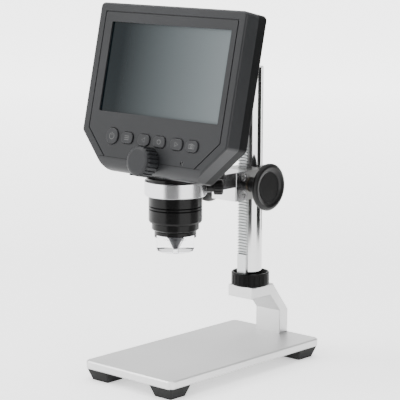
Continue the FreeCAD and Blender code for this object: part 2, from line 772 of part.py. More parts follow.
def thumb_knob():
    centre = Vector(0, LENS_AXIS_Y, CLAMP_MID_Z)
    along = thumb_direction()
    neck = rod(THUMB_NECK_D / 2, Vector(), Z * THUMB_NECK_L)
    grip = lobed_rim(THUMB_KNOB_D / 2, 0.45, THUMB_LOBES, THUMB_KNOB_L)
    radius = THUMB_KNOB_D / 2
    form = revolve([(0, 0), (radius - 0.6, 0), (radius, 0.6), (radius, THUMB_KNOB_L - 0.9),
                    (radius - 0.9, THUMB_KNOB_L), (0, THUMB_KNOB_L)], Vector(), Z)
    grip = grip.common(form)
    knob = neck.fuse(place(grip, Z * THUMB_NECK_L)).removeSplitter()
    knob = place(knob, centre + along * thumb_neck_start(), Rotation(Z, along))
    return knob.cut(rod(THUMB_THREAD_D / 2 - RUN_GAP, centre, centre + along * thumb_stud_end()))


# Lens barrel

def lens_axis(z):
    return Vector(0, LENS_AXIS_Y, z)


def lens_tube():
    """The outer barrel: a flange that rests on the clamp ring and a root in the housing."""
    length = CARRIAGE_TOP - BARREL_BOTTOM
    r = BARREL_R
    top = length + FLANGE_T
    groove_at = ARM_BOTTOM - BARREL_BOTTOM - 6.5
    outline = [(BARREL_BORE_D / 2, 0), (r - 1.6, 0), (r - 0.5, 0.5), (r, 1.6),
               (r, groove_at - 2.2), (r - BARREL_GROOVE, groove_at - 1.8), (r, groove_at - 1.4),
               (r, groove_at - 0.4), (r - BARREL_GROOVE, groove_at), (r, groove_at + 0.4),
               (r, length), (FLANGE_D / 2, length), (FLANGE_D / 2, top), (TUBE_ROOT_D / 2, top),
               (TUBE_ROOT_D / 2, top + TUBE_ROOT_H), (BARREL_BORE_D / 2, top + TUBE_ROOT_H)]
    tube = revolve(outline, lens_axis(BARREL_BOTTOM), Z)
    for point in tube_screw_points():
        tube = tube.cut(rod(TUBE_SCREW_D / 2, point, point - Z * (WALL + FLANGE_T)))
    return tube


def tube_screw_points():
    """Where the screws' heads seat, on the floor of the pod."""
    radius = TUBE_SCREW_CIRCLE_D / 2
    angles = [math.radians(angle) for angle in TUBE_SCREW_ANGLES]
    floor = lens_axis(BULGE_BOTTOM + WALL)
    return [floor + Vector(radius * math.cos(a), radius * math.sin(a), 0) for a in angles]


def nose_bottom():
    return BARREL_BOTTOM - NOSE_STEP_H - NOSE_LIP_H


def nose_ring():
    """The stepped black ring that closes the barrel and holds the clear hood."""
    step, lip, bore = NOSE_STEP_D / 2, NOSE_LIP_D / 2, NOSE_BORE_D / 2
    height = NOSE_STEP_H + NOSE_LIP_H
    outline = [(bore, 0), (lip, 0), (lip, NOSE_LIP_H - 0.5), (lip - 0.6, NOSE_LIP_H),
               (step - 0.7, NOSE_LIP_H), (step, NOSE_LIP_H + 0.7), (step, height), (bore, height)]
    return revolve(outline, lens_axis(nose_bottom()), Z)


def clear_hood():
    """A clear light guide round a conical hollow, with a spigot in the nose ring."""
    outer, flange = HOOD_D / 2, NOSE_LIP_D / 2
    shoulder = nose_bottom() - HOOD_FLANGE_H - HOOD_BOTTOM
    top = nose_bottom() - HOOD_BOTTOM
    wide, narrow = CONE_TOP_D / 2 + HAIR, CONE_TIP_D / 2 + HAIR
    cone_low = CONE_TIP_Z - HOOD_BOTTOM
    outline = [(narrow, 0), (outer - 1.2, 0), (outer - 0.35, 0.4), (outer, 1.3), (outer, shoulder),
               (flange - 0.4, shoulder), (flange, shoulder + 0.4), (flange, top),
               (NOSE_BORE_D / 2, top), (NOSE_BORE_D / 2, top + HOOD_SPIGOT_H), (wide, top + HOOD_SPIGOT_H),
               (wide, cone_low + CONE_L), (narrow, cone_low)]
    return revolve(outline, lens_axis(HOOD_BOTTOM), Z)


def led_board_low():
    return BARREL_BOTTOM - LED_BOARD_T


def led_board():
    base = lens_axis(led_board_low())
    disc = Part.makeCylinder(NOSE_BORE_D / 2, LED_BOARD_T, base)
    return disc.cut(Part.makeCylinder(CONE_TOP_D / 2, LED_BOARD_T, base))


def led_lamp(index):
    angle = 360.0 * (index + 0.5) / LED_COUNT
    half = LED_SIZE / 2
    reach = LED_CIRCLE_D / 2
    lamp = box(reach - half, reach + half, -half, half, -LED_H, 0)
    return place(lamp, lens_axis(led_board_low()), Rotation(Z, angle))


def nose_cone():
    """The black funnel that keeps lamp light out of the lens."""
    top, tip = CONE_TOP_D / 2, CONE_TIP_D / 2
    collar = top + CONE_COLLAR
    height = BARREL_BOTTOM - CONE_TIP_Z
    outline = [(tip - CONE_WALL, 0), (tip, 0), (top, CONE_L), (top, height), (collar, height),
               (collar, height + CONE_COLLAR_T), (top - CONE_WALL, height + CONE_COLLAR_T),
               (top - CONE_WALL, CONE_L)]
    return revolve(outline, lens_axis(CONE_TIP_Z), Z)


# Lens carrier

def lens_carrier():
    outer, inner = CARRIER_D / 2, CARRIER_D / 2 - CARRIER_WALL
    height = CARRIER_TOP - CARRIER_BOTTOM
    cell = CELL_D / 2 + RUN_GAP
    outline = [(cell, 0), (outer, 0), (outer, height), (inner, height), (inner, CELL_H), (cell, CELL_H)]
    tube = revolve(outline, lens_axis(CARRIER_BOTTOM), Z)
    return tube.fuse(drive_rack()).removeSplitter()


def drive_centre():
    """Where the front knob's pinion sits, behind the chin and in front of the tube."""
    along = face_direction()
    start = face_point(0, FRONT_KNOB_V, 0)
    wanted_y = LENS_AXIS_Y - CARRIER_D / 2 - DRIVE_W / 2 - DRIVE_CLEAR
    return start + along * ((wanted_y - start.y) / along.y)


def drive_rack():
    """A rack moulded on the tube, its teeth cut parallel to the tilted pinion."""
    centre = drive_centre()
    tip = DRIVE_R - DRIVE_MODULE
    half = CARRIER_TRAVEL + DRIVE_SPARE
    root = rack_root(DRIVE_MODULE, tip)
    back = tip + DRIVE_RACK_T
    teeth = rack_teeth(DRIVE_MODULE, RACK_PRESSURE, -half, half, 0, tip)
    outline = [(back, -half), (root, -half)] + teeth + [(root, half), (back, half)]
    points = [Vector(d, h, 0) for d, h in outline]
    reach = DRIVE_W / 2 + CARRIER_TRAVEL * math.sin(TILT_RAD)
    bar = Part.Face(Part.makePolygon(points + points[:1])).extrude(Z * (-2 * reach))
    bar = place(bar, Z * reach)
    bar.Placement = face_frame(centre).multiply(bar.Placement)
    tube_front = LENS_AXIS_Y - math.sqrt((CARRIER_D / 2) ** 2 - back ** 2)
    low, high = centre.z - half + 1.2, centre.z + half - 1.2
    web = box(root + 0.2, back, centre.y, tube_front + 1.0, low, high)
    hollow = Part.makeCylinder(CARRIER_D / 2 - CARRIER_WALL / 2, high - low, lens_axis(low))
    return bar.fuse(web.cut(hollow)).removeSplitter()


def face_frame(origin):
    """The tilted frame (u, v, -w) set down at a point."""
    return Placement(origin, FACE.Rotation.multiply(Rotation(X, 90)))


def objective_cell():
    outline = [(LENS_D / 2, 0), (CELL_D / 2, 0), (CELL_D / 2, CELL_H), (LENS_D / 2 + 0.8, CELL_H),
               (LENS_D / 2 + 0.8, CELL_H - 1.5), (LENS_D / 2, CELL_H - 2.5)]
    return revolve(outline, lens_axis(CARRIER_BOTTOM), Z)


def objective_lens():
    radius = LENS_D / 2
    half = LENS_T / 2
    middle = lens_axis(CARRIER_BOTTOM + 2.6)
    sag = 0.8
    ball_r = (radius ** 2 + sag ** 2) / (2 * sag)
    lower = Part.makeSphere(ball_r, middle + Z * (ball_r - half))
    upper = Part.makeSphere(ball_r, middle - Z * (ball_r - half))
    return Part.makeCylinder(radius, LENS_T, middle - Z * half).common(lower).common(upper)


def sensor_board():
    inner = CARRIER_D / 2 - CARRIER_WALL
    base = lens_axis(CARRIER_TOP - 8)
    board = Part.makeCylinder(inner - RUN_GAP, SENSOR_T, base)
    half = SENSOR_W / 4
    chip = box(-half, half, LENS_AXIS_Y - half, LENS_AXIS_Y + half, base.z - 1.0, base.z)
    return board.fuse(chip).removeSplitter()


# Housing

def housing_corners(inset, w):
    """Corners of the face outline, moved in by an inset, anticlockwise from low left."""
    half = HOUSING_W / 2 - inset
    top = HOUSING_TOP - inset
    bottom = -HOUSING_BOTTOM + inset
    slant = math.tan(math.radians(90 - CHAMFER_ANGLE) / 2)
    shoulder = -HOUSING_SHOULDER + inset * slant
    run = (shoulder - bottom) / math.tan(math.radians(CHAMFER_ANGLE))
    return [Vector(-half + run, bottom, -w), Vector(half - run, bottom, -w), Vector(half, shoulder, -w),
            Vector(half, top, -w), Vector(-half, top, -w), Vector(-half, shoulder, -w)]


def housing_slab(inset, w0, w1):
    radius = max(0.4, HOUSING_R - inset)
    radii = [radius * 1.6, radius * 1.6, radius, radius, radius, radius]
    wire = rounded_outline(housing_corners(inset, w0), radii)
    return Part.Face(wire).extrude(Z * (w0 - w1))


def chin_cut(inset, over):
    """What lies outside the rounded chin: a bar cut away below and ahead of it."""
    radius = CHIN_R - inset
    bottom = -HOUSING_BOTTOM + inset
    front = inset
    arc_end = Vector(0, bottom, -(front + radius))
    sag = radius * (1 - math.sin(math.pi / 4))
    arc_mid = Vector(0, bottom + sag, -(front + sag))
    arc_start = Vector(0, bottom + radius, -front)
    outside = [arc_end, Vector(0, bottom - over, arc_end.z), Vector(0, bottom - over, over),
               Vector(0, bottom + radius, over), arc_start]
    edges = [Part.Arc(arc_start, arc_mid, arc_end).toShape()]
    edges += [Part.LineSegment(a, b).toShape() for a, b in zip(outside, outside[1:])]
    bar = Part.Face(Part.Wire(edges)).extrude(X * HOUSING_W)
    return place(bar, X * (-HOUSING_W / 2))


def housing_solid(inset, w0, w1):
    slab = housing_slab(inset, w0, w1)
    return slab.cut(chin_cut(inset, CHIN_CUT_SPARE))


def housing_band(inset0, w0, inset1, w1):
    """A slice of the housing whose outline changes from one inset to another."""
    wires = []
    for inset, w in ((inset0, w0), (inset1, w1)):
        radius = HOUSING_R - inset
        radii = [radius * 1.6, radius * 1.6, radius, radius, radius, radius]
        wires.append(rounded_outline(housing_corners(inset, w), radii))
    return Part.makeLoft(wires, True, True)


def softened_housing(w0, w1, front, rear):
    """A solid slab with its front or rear rim rounded in two steps."""
    low, high = w0 + front * EDGE_R, w1 - rear * EDGE_R
    body = housing_slab(0, low, high)
    if front:
        body = body.fuse(housing_band(EDGE_STEP, w0 + EDGE_STEP, 0, low))
        body = body.fuse(housing_band(EDGE_R, w0, EDGE_STEP, w0 + EDGE_STEP))
    if rear:
        body = body.fuse(housing_band(0, high, EDGE_STEP, w1 - EDGE_STEP))
        body = body.fuse(housing_band(EDGE_STEP, w1 - EDGE_STEP, EDGE_R, w1))
    return body.cut(chin_cut(0, CHIN_CUT_SPARE))


def groove_solid():
    """The fine step line round the face, running out in the rounded chin."""
    outer = housing_slab(GROOVE_INSET, 0, GROOVE_DEPTH)
    inner = housing_slab(GROOVE_INSET + GROOVE_W, 0, GROOVE_DEPTH)
    band = outer.cut(inner)
    keep = -HOUSING_BOTTOM + CHIN_R
    return band.common(box(-HOUSING_W, HOUSING_W, keep, HOUSING_TOP, -GROOVE_DEPTH, 0))


def button_shape(index, grow, low, high):
    """A button's own prism, or its hole when grown."""
    if index == 0:
        return Part.makeCylinder(POWER_D / 2 + grow, high - low, Vector(BUTTON_FIRST_U, BUTTON_V, low))
    centre = (BUTTON_US[index - 1], BUTTON_V)
    return rounded_box(BUTTON_W + 2 * grow, BUTTON_H + 2 * grow, high - low, BUTTON_R + grow, centre, low)


def button_us():
    return [BUTTON_FIRST_U] + BUTTON_US


def case_screw_points():
    return [(sx * CASE_SCREW_U, CASE_SCREW_TOP_V) for sx in (-1, 1)] + \
           [(sx * CASE_SCREW_LOW_U, CASE_SCREW_LOW_V) for sx in (-1, 1)]


def window_solid(grow, w0, w1):
    return rounded_box(WINDOW_W + 2 * grow, WINDOW_H + 2 * grow, w1 - w0, 0.6, (WINDOW_U, 0), -w1)


def front_bezel():
    body = softened_housing(0, BEZEL_D, 1, 0)
    body = body.cut(housing_solid(WALL, WALL, BEZEL_D + 1))
    body = body.cut(groove_solid())
    body = body.cut(window_solid(0, -1, WALL))
    body = body.cut(window_solid(COVER_MARGIN, WINDOW_DEPTH, WALL))
    for index in range(6):
        body = body.cut(button_shape(index, BUTTON_GAP, -WALL - 1, 1))
    body = body.cut(rod(LIGHT_D / 2, Vector(LIGHT_U, LIGHT_V, 1), Vector(LIGHT_U, LIGHT_V, -WALL - 1)))
    knob_axis = Vector(0, FRONT_KNOB_V, 0)
    collar_back = knob_axis - Z * (KNOB_BUSH_L + BUSH_SET)
    collar = rod(KNOB_BUSH_D / 2 + BUSH_WALL, knob_axis - Z * BUSH_SET, collar_back)
    body = body.fuse(collar.common(housing_solid(0, 0, BEZEL_D))).removeSplitter()
    body = body.cut(rod(KNOB_BUSH_D / 2, knob_axis + Z, knob_axis - Z * BEZEL_D))
    for u, v in case_screw_points():
        post = rod(CASE_POST_D / 2, Vector(u, v, -WALL - PANEL_T), Vector(u, v, -BEZEL_D))
        if abs(v - CASE_SCREW_LOW_V) < 1e-6:
            post = rod(CASE_POST_D / 2, Vector(u, v, -WALL), Vector(u, v, -BEZEL_D))
        body = body.fuse(post)
    body = body.removeSplitter()
    for u, v in case_screw_points():
        rear = Vector(u, v, -BEZEL_D)
        body = body.cut(rod(CASE_SCREW_D / 2, rear + Z * CASE_SCREW_BITE, rear))
    return face_part(body)


def port_cutters():
    """Openings in the left wall for the power and card sockets."""
    left = -HOUSING_W / 2
    usb = box(left - 1, left + WALL + 0.1, USB_V - USB_L / 2 - 0.3, USB_V + USB_L / 2 + 0.3,
              -PORT_W - USB_H / 2 - 0.3, -PORT_W + USB_H / 2 + 0.3)
    card = box(left - 1, left + WALL + 0.1, CARD_V - CARD_L / 2 - 0.3, CARD_V + CARD_L / 2 + 0.3,
               -PORT_W - CARD_H / 2 - 0.3, -PORT_W + CARD_H / 2 + 0.3)
    return [usb, card]


def bulge_solid(inset):
    """The upright pod behind the face that carries the lens tube."""
    half = BULGE_HALF_W - inset
    rear = LENS_AXIS_Y + BULGE_BACK - inset
    low = BULGE_BOTTOM + inset
    high = BULGE_TOP - inset
    front = LENS_AXIS_Y - BULGE_FRONT
    outline = [(front, low), (rear, low), (rear, high - BULGE_SLOPE), (rear - BULGE_SLOPE, high),
               (front, high)]
    points = [Vector(-half, y, z) for y, z in outline]
    pod = Part.Face(Part.makePolygon(points + points[:1])).extrude(X * (2 * half))
    radius = max(0.6, BULGE_R - inset)
    upright = edges_at(pod, lambda e: on_plane(e, "Y", rear) and e.BoundBox.ZLength > 1)
    return pod.makeFillet(radius, upright)


def behind_face(w):
    """Everything further back than a plane at depth w behind the face."""
    return face_part(box(-FAR, FAR, -FAR, FAR, -FAR, -w))


def rear_housing():
    shell = face_part(softened_housing(BEZEL_D, HOUSING_D, 0, 1))
    hollow = face_part(housing_solid(WALL, BEZEL_D - 1, HOUSING_D - WALL))
    pod = bulge_solid(0).common(behind_face(BEZEL_D + 1))
    pod_hollow = bulge_solid(WALL).common(behind_face(BEZEL_D - 1))
    below = box(-FAR, FAR, -FAR, FAR, BULGE_BOTTOM - FAR, BULGE_BOTTOM)
    body = shell.cut(hollow).fuse(pod.cut(below)).removeSplitter()
    body = body.cut(pod_hollow).cut(hollow)
    flange_low = lens_axis(BULGE_BOTTOM - FLANGE_T)
    body = body.cut(rod(TUBE_ROOT_D / 2 + RUN_GAP, flange_low, lens_axis(BULGE_BOTTOM + BULGE_BACK)))
    body = body.cut(rod(FLANGE_D / 2 + HAIR, flange_low, lens_axis(BULGE_BOTTOM)))
    for point in tube_screw_points():
        body = body.cut(rod(TUBE_SCREW_D / 2, point, point - Z * WALL))
    for u, v in case_screw_points():
        post = rod(CASE_POST_D / 2, Vector(u, v, -BEZEL_D), Vector(u, v, -HOUSING_D + 0.5))
        body = body.fuse(face_part(post))
    body = body.removeSplitter()
    for u, v in case_screw_points():
        outside = Vector(u, v, -HOUSING_D - 1)
        hole = rod(CASE_SCREW_D / 2, Vector(u, v, -BEZEL_D), outside)
        sink = rod(CASE_SCREW_HEAD_D / 2, Vector(u, v, -HOUSING_D + CASE_SCREW_HEAD_H), outside)
        body = body.cut(face_part(hole)).cut(face_part(sink))
    for port in port_cutters():
        body = body.cut(face_part(port))
    return body


def case_screw(u, v):
    seat = Vector(u, v, -HOUSING_D + CASE_SCREW_HEAD_H)
    head = rod(CASE_SCREW_HEAD_D / 2, seat, Vector(u, v, -HOUSING_D + 0.3))
    shank = rod(CASE_SCREW_D / 2, Vector(u, v, -BEZEL_D + CASE_SCREW_BITE), seat)
    slot = box(-1.5, 1.5, -0.35, 0.35, -0.5, 0.5)
    cross = slot.fuse(place(slot, turn=Rotation(Z, 90)))
    screw = head.fuse(shank).cut(place(cross, Vector(u, v, -HOUSING_D + 0.5))).removeSplitter()
    return face_part(screw)


# Display and electronics

def screen_cover():
    width = WINDOW_W + 2 * COVER_MARGIN
    height = WINDOW_H + 2 * COVER_MARGIN
    return face_part(rounded_box(width, height, WALL - WINDOW_DEPTH, 0.6, (WINDOW_U, 0), -WALL))


def lcd_panel():
    panel = rounded_box(PANEL_W, PANEL_H, PANEL_T, 0.8, (WINDOW_U, 0), -WALL - PANEL_T)
    return face_part(panel)


def board_front():
    return WALL + PANEL_T


def main_board():
    low = -board_front() - BOARD_T
    board = rounded_box(BOARD_W, BOARD_H, BOARD_T, 1.0, (WINDOW_U, 2.0), low)
    chips = [rounded_box(14, 14, 1.2, 0.2, (10, 8), low - 1.2),
             rounded_box(10, 8, 1.0, 0.2, (-20, 14), low - 1.0)]
    for chip in chips:
        board = board.fuse(chip)
    shelf_left = -HOUSING_W / 2 + WALL + 4.0
    shelf_right = -BOARD_W / 2 + WINDOW_U + 1
    port_shelf = box(shelf_left, shelf_right, CARD_V - 8, USB_V + 8, low, low + BOARD_T)
    return face_part(board.fuse(port_shelf).removeSplitter())


def battery_pack():
    back = -HOUSING_D + WALL
    pack = rounded_box(BATTERY_W, BATTERY_H, BATTERY_T, 1.5, (8, 8), back)
    return face_part(pack)


def key_board():
    low = -KEY_BOARD_W0 - BOARD_T
    centre_u = (BUTTON_FIRST_U + BUTTON_US[-1]) / 2
    return face_part(rounded_box(KEY_BOARD_W, KEY_BOARD_H, BOARD_T, 0.8, (centre_u, BUTTON_V), low))


def key_switch(u):
    half = SWITCH_SIZE / 2
    low = -KEY_BOARD_W0
    return face_part(box(u - half, u + half, BUTTON_V - half, BUTTON_V + half, low, low + SWITCH_H))


def button(index):
    """A cap with a retaining flange behind the bezel and a short plunger."""
    u = button_us()[index]
    flange_front = -WALL - BUTTON_PLAY
    flange_back = flange_front - BUTTON_FLANGE_T
    cap = button_shape(index, 0, flange_back, BUTTON_PROUD)
    top = edges_at(cap, lambda e: on_plane(e, "Z", BUTTON_PROUD))
    cap = cap.makeFillet(0.45, top)
    flange = button_shape(index, BUTTON_FLANGE + BUTTON_GAP, flange_back, flange_front)
    plunger_end = -KEY_BOARD_W0 + SWITCH_H + BUTTON_TRAVEL + BUTTON_PLAY
    plunger = rod(BUTTON_STEM_D / 2, Vector(u, BUTTON_V, flange_back), Vector(u, BUTTON_V, plunger_end))
    return face_part(cap.fuse(flange).fuse(plunger).removeSplitter())


def indicator_light():
    pipe = rod(LIGHT_D / 2, Vector(LIGHT_U, LIGHT_V, -0.3), Vector(LIGHT_U, LIGHT_V, -WALL - 2.0))
    return face_part(pipe)


def knob_bush():
    start = Vector(0, FRONT_KNOB_V, 0)
    bush = rod(KNOB_BUSH_D / 2, start, start - Z * (KNOB_BUSH_L + BUSH_SET))
    return face_part(bush.cut(rod(SPINDLE_D / 2 + RUN_GAP, start + Z, start - Z * (KNOB_BUSH_L + 2))))


def front_knob():
    """The scalloped focus knob with its domed face."""
    radius = FRONT_KNOB_D / 2
    low = FRONT_KNOB_OUT - FRONT_KNOB_L
    grip = lobed_rim(radius, 0.75, FRONT_KNOB_LOBES, FRONT_KNOB_L)
    form = revolve([(0, 0), (radius - 0.4, 0), (radius, 0.4), (radius, FRONT_KNOB_L - 2.0),
                    (radius - 0.35, FRONT_KNOB_L - 1.0), (radius - 1.1, FRONT_KNOB_L - 0.3),
                    (radius - 2.4, FRONT_KNOB_L), (0, FRONT_KNOB_L)], Vector(), Z)
    knob = place(grip.common(form), Vector(0, FRONT_KNOB_V, low))
    axis = Vector(0, FRONT_KNOB_V, 0)
    bore = rod(SPINDLE_D / 2, axis + Z * (low - 1), axis + Z * (FRONT_KNOB_OUT - SPINDLE_BITE))
    return face_part(knob.cut(bore))


def focus_spindle():
    gear_back = drive_depth() + DRIVE_W / 2
    axis = Vector(0, FRONT_KNOB_V, 0)
    shaft = rod(SPINDLE_D / 2, axis + Z * (FRONT_KNOB_OUT - SPINDLE_BITE), axis - Z * gear_back)
    gear = pinion_outline(DRIVE_MODULE, DRIVE_TEETH, RACK_PRESSURE).extrude(Z * DRIVE_W)
    gear = place(gear, axis - Z * gear_back)
    return face_part(shaft.fuse(gear).removeSplitter())


def drive_depth():
    return (drive_centre() - face_point(0, FRONT_KNOB_V, 0)).dot(face_direction())


def usb_socket():
    left = -HOUSING_W / 2 + 0.4
    shell = box(left, left + USB_D, USB_V - USB_L / 2, USB_V + USB_L / 2,
                -PORT_W - USB_H / 2, -PORT_W + USB_H / 2)
    hollow = box(left - 1, left + USB_D - 1, USB_V - USB_L / 2 + 0.35, USB_V + USB_L / 2 - 0.35,
                 -PORT_W - USB_H / 2 + 0.35, -PORT_W + USB_H / 2 - 0.35)
    tongue = box(left + 1, left + USB_D - 1, USB_V - 1.9, USB_V + 1.9, -PORT_W - 0.35, -PORT_W + 0.35)
    foot = box(left + WALL + 2.2, left + USB_D, USB_V - USB_L / 2 + 1, USB_V + USB_L / 2 - 1,
               -PORT_W + USB_H / 2, -board_front() - BOARD_T)
    return face_part(shell.cut(hollow).fuse(tongue).fuse(foot).removeSplitter())


def card_socket():
    left = -HOUSING_W / 2 + 0.6
    shell = box(left, left + CARD_D, CARD_V - CARD_L / 2, CARD_V + CARD_L / 2,
                -PORT_W - CARD_H / 2, -PORT_W + CARD_H / 2)
    hollow = box(left - 1, left + CARD_D - 1.5, CARD_V - CARD_L / 2 + 0.3, CARD_V + CARD_L / 2 - 0.3,
                 -PORT_W - CARD_H / 2 + 0.4, -PORT_W + CARD_H / 2 - 0.3)
    foot = box(left + 5, left + CARD_D, CARD_V - CARD_L / 2 + 1, CARD_V + CARD_L / 2 - 1,
               -PORT_W + CARD_H / 2, -board_front() - BOARD_T)
    return face_part(shell.cut(hollow).fuse(foot).removeSplitter())


def tube_screw(point):
    head = rod(TUBE_SCREW_HEAD_D / 2, point + Z * TUBE_SCREW_HEAD_H, point)
    shank = rod(TUBE_SCREW_D / 2, point, point - Z * (WALL + FLANGE_T))
    return head.fuse(shank).removeSplitter()


def group(shapes):
    return Part.makeCompound(shapes)


NODES = {
    "base_plate": base_plate,
    "rubber_feet": lambda: group([rubber_foot(c) for c in foot_centres()]),
    "foot_screws": lambda: group([foot_screw(c) for c in foot_centres()]),
    "riser_bracket": riser_bracket,
    "bracket_screws": lambda: group([
        countersunk_screw(RISER_SCREW_D, RISER_SCREW_HEAD_D, p, PLATE_T + RISER_SCREW_BITE)
        for p in riser_screw_points()]),
    "column_bolt": column_bolt,
    "column_post": column_post,
    "rack_strip": rack_strip,
    "column_lock_ring": column_lock_ring,
    "carriage_block": carriage_block,
    "socket_screws": lambda: group([socket_screw(z) for z in socket_screw_heights()]),
    "friction_pad": friction_pad,
    "friction_screw": friction_screw,
    "shaft_bushes": lambda: group([shaft_bush(side) for side in (-1, 1)]),
    "ring_arm": ring_arm,
    "thumb_screw_stud": thumb_stud,
    "thumb_screw_knob": thumb_knob,
    "pinion_shaft": pinion_shaft,
    "right_stand_knob": lambda: stand_knob(1),
    "left_stand_knob": lambda: stand_knob(-1),
    "knob_grub_screws": lambda: group([knob_grub(side) for side in (-1, 1)]),
    "lens_tube": lens_tube,
    "tube_screws": lambda: group([tube_screw(p) for p in tube_screw_points()]),
    "nose_ring": nose_ring,
    "clear_hood": clear_hood,
    "nose_cone": nose_cone,
    "led_board": led_board,
    "led_lamps": lambda: group([led_lamp(i) for i in range(LED_COUNT)]),
    "lens_carrier": lens_carrier,
    "objective_cell": objective_cell,
    "objective_lens": objective_lens,
    "sensor_board": sensor_board,
    "front_bezel": front_bezel,
    "rear_housing": rear_housing,
    "housing_screws": lambda: group([case_screw(u, v) for u, v in case_screw_points()]),
    "screen_cover": screen_cover,
    "lcd_panel": lcd_panel,
    "main_board": main_board,
    "battery_pack": battery_pack,
    "key_board": key_board,
    "key_switches": lambda: group([key_switch(u) for u in button_us()]),
    "power_button": lambda: button(0),
    "indicator_light": indicator_light,
    "knob_bush": knob_bush,
    "front_knob": front_knob,
    "focus_spindle": focus_spindle,
    "usb_socket": usb_socket,
    "card_socket": card_socket,
}
for order, button_name in enumerate(BUTTON_NAMES):
    NODES[button_name] = lambda order=order: button(order + 1)


os.makedirs("parts", exist_ok=True)
for node_name, make in NODES.items():
    shape = make()
    if not shape.isValid():
        print("not valid:", node_name)
    shape.exportStep("parts/" + node_name + ".step")
    print(node_name, len(shape.Solids), round(shape.Volume, 1))
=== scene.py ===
import json
import math

import bpy
from mathutils import Matrix, Vector


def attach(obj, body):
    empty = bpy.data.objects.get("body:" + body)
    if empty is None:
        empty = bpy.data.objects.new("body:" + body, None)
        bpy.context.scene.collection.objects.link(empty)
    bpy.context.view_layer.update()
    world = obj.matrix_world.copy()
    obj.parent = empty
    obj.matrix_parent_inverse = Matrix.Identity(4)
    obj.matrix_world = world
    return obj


# The frame
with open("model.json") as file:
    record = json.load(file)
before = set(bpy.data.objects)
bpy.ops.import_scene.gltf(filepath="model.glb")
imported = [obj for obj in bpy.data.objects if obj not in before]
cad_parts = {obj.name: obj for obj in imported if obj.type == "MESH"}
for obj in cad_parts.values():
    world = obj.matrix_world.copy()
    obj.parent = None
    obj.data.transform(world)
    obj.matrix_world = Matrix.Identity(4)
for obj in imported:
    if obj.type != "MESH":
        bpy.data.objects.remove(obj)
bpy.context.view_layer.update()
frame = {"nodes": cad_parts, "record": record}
NODES = frame["nodes"]

# The tilted face: u to the right, v up the face, w behind it, in millimetres
TILT = math.radians(12.714)
FACE_ORIGIN = Vector((0.0, -39.13, 188.59))
FACE_V = Vector((0.0, math.sin(TILT), math.cos(TILT)))
FACE_BACK = Vector((0.0, math.cos(TILT), -math.sin(TILT)))
MM = 0.001

# Buttons on the face, as in the CAD
BUTTON_V = -41.7
BUTTON_PROUD = 0.9
BUTTON_U = {"power_button": -32.05, "menu_button": -19.5, "left_button": -5.8,
            "ok_button": 6.8, "right_button": 20.7, "mode_button": 32.8}

# Printed lines and the chin's painted dark reflection: how deep they sit in the surface, their width and
# their thickness
PRINT_AND_REFLECTION_SUNK = 0.02
PRINT_AND_REFLECTION_WIDTH = 0.28
PRINT_AND_REFLECTION_THICKNESS = 0.03

# Pictograms on the buttons, in millimetres from the button's centre
POWER_RADIUS = 1.9
POWER_OPEN_FROM = 35.0
POWER_OPEN_TO = 325.0
POWER_BAR_TOP = 2.3
POWER_BAR_FOOT = 0.4
MENU_HALF = 1.8
MENU_RISES = (-1.1, 0.0, 1.1)
ARROW_BACK = 1.0
ARROW_TIP = 1.3
ARROW_HALF = 1.4
OK_RADIUS = 1.3
SNAPSHOT_OUTLINE = [(-2.0, -1.3), (-2.0, 0.9), (-0.9, 0.9), (-0.5, 1.4),
                    (0.5, 1.4), (0.9, 0.9), (2.0, 0.9), (2.0, -1.3)]
SNAPSHOT_LENS_DROP = 0.25
SNAPSHOT_LENS_RADIUS = 0.75
SNAPSHOT_LENS_STEPS = 12

# A fine painted dark line, a painted reflection where the chin turns under, broken by the focus knob
CHIN_V = -54.4
CHIN_FROM = 9.6
CHIN_TO = 40.7

# The display's sheen is painted into its colour and runs between these places across the glass, in metres
SCREEN_LEFT = -0.048
SCREEN_RIGHT = 0.050
SCREEN_DARK = (0.001, 0.003, 0.004, 1)
SCREEN_PAINTED_SHEEN = (0.080, 0.092, 0.096, 1)
SHEEN_START = 0.12
SCREEN_GLOSS = 0.2

# Camera solved from the photograph
AZIMUTH = math.radians(42.045)
ELEVATION = math.radians(10.111)
ROLL = math.radians(0.24)
CAMERA_PLACE = Vector((0.68875, -0.7689, 0.2904))
LENS_MM = 153.44
SENSOR_MM = 36.0
CLIP_NEAR = 0.05
CLIP_FAR = 30.0

# Floor: a little light of its own, rising away from the object
FLOOR_SIZE = 24.0
FLOOR_COLOUR = (0.98, 0.98, 0.98, 1.0)
FLOOR_ROUGHNESS = 0.8
FLOOR_GLOSS = 0.1
FLOOR_GLOW_NEAR = 0.55
FLOOR_GLOW_FAR = 2.6
GLOW_FROM = 0.35
GLOW_TO = 1.6

# World: brightest at the horizon, so that it meets the floor without a line
WORLD_COLOUR = (1.0, 1.0, 1.0, 1.0)
WORLD_STRENGTH = 1.5
HORIZON_STRENGTH = 4.2
SKY_FADE = 0.22

# Dark cards that put the dark bands in the chrome: (azimuth from, azimuth to, brightness)
CARDS = [(2.0, 50.0, 0.03), (100.0, 150.0, 0.01), (166.0, 182.0, 0.01)]
CARD_DISTANCE = 0.42
CARD_HEIGHT = 0.5
COLUMN_PLACE = (0.0, 0.0431)

# Lamps: name, place, target, size in metres, power in watts
LAMPS = [
    ("key", (-0.9, -0.9, 1.3), (0, 0, 0.12), (1.0, 1.0), 26.0),
    ("fill", (0.55, -1.4, 0.6), (0, 0, 0.12), (0.8, 1.2), 8.0),
    ("top", (0.0, 0.2, 1.6), (0, 0, 0.1), (1.4, 1.4), 24.0),
]

